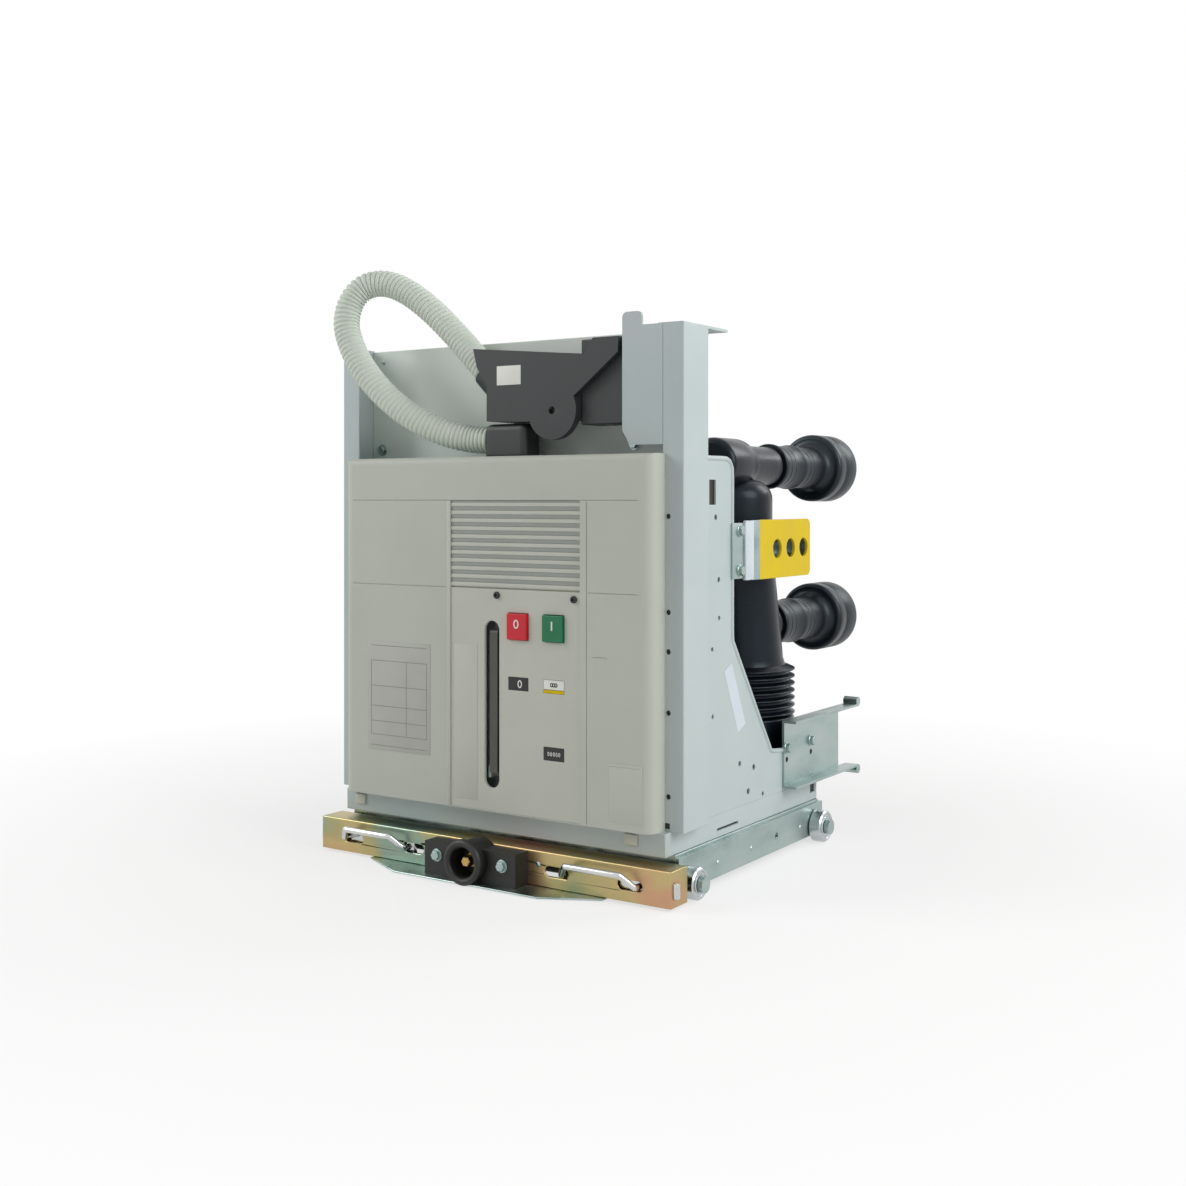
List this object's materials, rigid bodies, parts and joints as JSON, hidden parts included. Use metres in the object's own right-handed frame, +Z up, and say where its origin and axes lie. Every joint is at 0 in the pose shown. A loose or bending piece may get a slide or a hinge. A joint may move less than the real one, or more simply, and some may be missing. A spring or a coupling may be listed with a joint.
{
  "type": "withdrawable substation circuit breaker",
  "caption": "Three-pole medium-voltage circuit breaker on a wheeled racking truck, with a grey front cover, insulated rear contact arms, a parked control plug and its conduit.",
  "frame": {"origin": "on the floor, under the middle of the machine's box without its conduit", "axes": "+X to the right seen from the front, +Y to the rear contacts, +Z up"},
  "size_m": [0.511, 0.633, 0.7068],
  "materials": {
    "zinc_steel": "bright zinc plating",
    "roller_steel": "turned and zinc plated",
    "gold_zinc": "yellow passivated zinc",
    "bright_rod": "bright plated rod",
    "drive_plastic": "moulded, matt",
    "brass": "machined",
    "painted_steel": "light grey powder coat",
    "cover_grey": "warm grey powder coat",
    "dark_plastic": "moulded, matt",
    "red_plastic": "moulded",
    "green_plastic": "moulded",
    "plug_plastic": "moulded, fine grain",
    "conduit_plastic": "corrugated, matt",
    "epoxy": "cast epoxy resin",
    "sleeve_black": "moulded insulation",
    "silvered_copper": "silver plated copper",
    "yellow_paint": "yellow enamel"
  },
  "bodies": {
    "breaker": {"truck_side_left": "zinc_steel", "truck_side_right": "zinc_steel", "truck_deck": "zinc_steel", "shutter_rail_left": "zinc_steel", "shutter_rail_right": "zinc_steel", "screw_nut": "brass", "base_frame": "painted_steel", "mechanism_housing": "painted_steel", "side_wall_left": "painted_steel", "side_wall_right": "painted_steel", "upright_left": "painted_steel", "upright_right": "painted_steel", "back_sheet": "painted_steel", "plug_bracket": "painted_steel", "front_cover": "cover_grey", "louvre": "cover_grey", "control_panel": "cover_grey", "indicator_windows": "dark_plastic", "plug_hood": "plug_plastic", "plug_socket": "plug_plastic", "conduit_fitting": "plug_plastic", "conduit": "conduit_plastic", "pole_left": "epoxy", "pole_centre": "epoxy", "pole_right": "epoxy", "contact_arms_left": "sleeve_black", "contact_arms_centre": "sleeve_black", "contact_arms_right": "sleeve_black", "tulips_left": "silvered_copper", "tulips_centre": "silvered_copper", "tulips_right": "silvered_copper", "lifting_plate_left": "yellow_paint", "lifting_plate_right": "yellow_paint"},
    "crosspiece": {"crosspiece": "gold_zinc", "guide_arms": "zinc_steel", "drive_block": "drive_plastic", "drive_shelf": "zinc_steel"},
    "racking_screw": {"racking_screw": "brass"},
    "latch_left": {"latch_left": "bright_rod"},
    "latch_right": {"latch_right": "bright_rod"},
    "open_button": {"open_button": "red_plastic"},
    "close_button": {"close_button": "green_plastic"},
    "charging_lever": {"charging_lever": "dark_plastic"},
    "front_wheel_left": {"front_wheel_left": "roller_steel"},
    "front_wheel_right": {"front_wheel_right": "roller_steel"},
    "rear_wheel_left": {"rear_wheel_left": "roller_steel"},
    "rear_wheel_right": {"rear_wheel_right": "roller_steel"}
  },
  "joints": [
    {"name": "crosspiece_rack", "type": "slide", "parent": "breaker", "child": "crosspiece", "axis": [0, -1, 0], "range_m": [0, 0.2]},
    {"name": "screw_turn", "type": "hinge", "parent": "crosspiece", "child": "racking_screw", "pos_m": [0, -0.2975, 0.0255], "axis": [0, 1, 0], "range_deg": [0, 7200]},
    {"name": "latch_left_pull", "type": "slide", "parent": "crosspiece", "child": "latch_left", "axis": [1, 0, 0], "range_m": [0, 0.02], "stiffness_N_per_m": 400, "springref_m": -0.01},
    {"name": "latch_right_pull", "type": "slide", "parent": "crosspiece", "child": "latch_right", "axis": [-1, 0, 0], "range_m": [0, 0.02], "stiffness_N_per_m": 400, "springref_m": -0.01},
    {"name": "open_button_press", "type": "slide", "parent": "breaker", "child": "open_button", "axis": [0, 1, 0], "range_m": [0, 0.006], "stiffness_N_per_m": 500, "springref_m": -0.004},
    {"name": "close_button_press", "type": "slide", "parent": "breaker", "child": "close_button", "axis": [0, 1, 0], "range_m": [0, 0.006], "stiffness_N_per_m": 500, "springref_m": -0.004},
    {"name": "lever_swing", "type": "hinge", "parent": "breaker", "child": "charging_lever", "pos_m": [0.0075, -0.2585, 0.119], "axis": [1, 0, 0], "range_deg": [0, 85]},
    {"name": "front_wheel_left_roll", "type": "hinge", "parent": "breaker", "child": "front_wheel_left", "pos_m": [-0.241, -0.2205, 0.0175], "axis": [1, 0, 0], "continuous": true},
    {"name": "front_wheel_right_roll", "type": "hinge", "parent": "breaker", "child": "front_wheel_right", "pos_m": [0.241, -0.2205, 0.0175], "axis": [1, 0, 0], "continuous": true},
    {"name": "rear_wheel_left_roll", "type": "hinge", "parent": "breaker", "child": "rear_wheel_left", "pos_m": [-0.241, 0.0985, 0.0195], "axis": [1, 0, 0], "continuous": true},
    {"name": "rear_wheel_right_roll", "type": "hinge", "parent": "breaker", "child": "rear_wheel_right", "pos_m": [0.241, 0.0985, 0.0195], "axis": [1, 0, 0], "continuous": true}
  ],
  "couplings": [
    {"joint": "screw_turn", "follows": "crosspiece_rack", "rad_per_m": 628.32}
  ]
}
